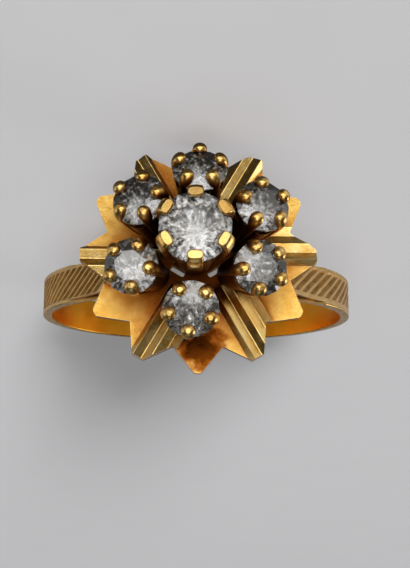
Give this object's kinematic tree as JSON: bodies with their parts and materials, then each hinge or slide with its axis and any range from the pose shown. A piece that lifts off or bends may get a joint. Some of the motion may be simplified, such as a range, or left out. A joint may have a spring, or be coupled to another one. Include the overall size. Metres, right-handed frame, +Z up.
{
  "type": "cluster ring",
  "caption": "Slim gold finger ring with engraved shoulders and a star-shaped head that carries a cluster of claw-set round stones.",
  "frame": {"origin": "middle of the underside of the box round the lying ring, on the surface it lies on", "axes": "+Z is up as the ring lies on its side. -Y is the way the head faces, tipped up a little, and +Y is towards the back of the band. +X is across the ring, to the right for someone who looks along +Y"},
  "size_m": [0.018, 0.025, 0.0115],
  "materials": {
    "gold": "yellow gold, polished on the claws and band, satin on the star plate",
    "stone": "clear faceted stone, polished"
  },
  "bodies": {
    "root": {"gold_mount": "gold", "centre_stone": "stone", "outer_stone_1": "stone", "outer_stone_2": "stone", "outer_stone_3": "stone", "outer_stone_4": "stone", "outer_stone_5": "stone", "outer_stone_6": "stone"}
  },
  "joints": []
}
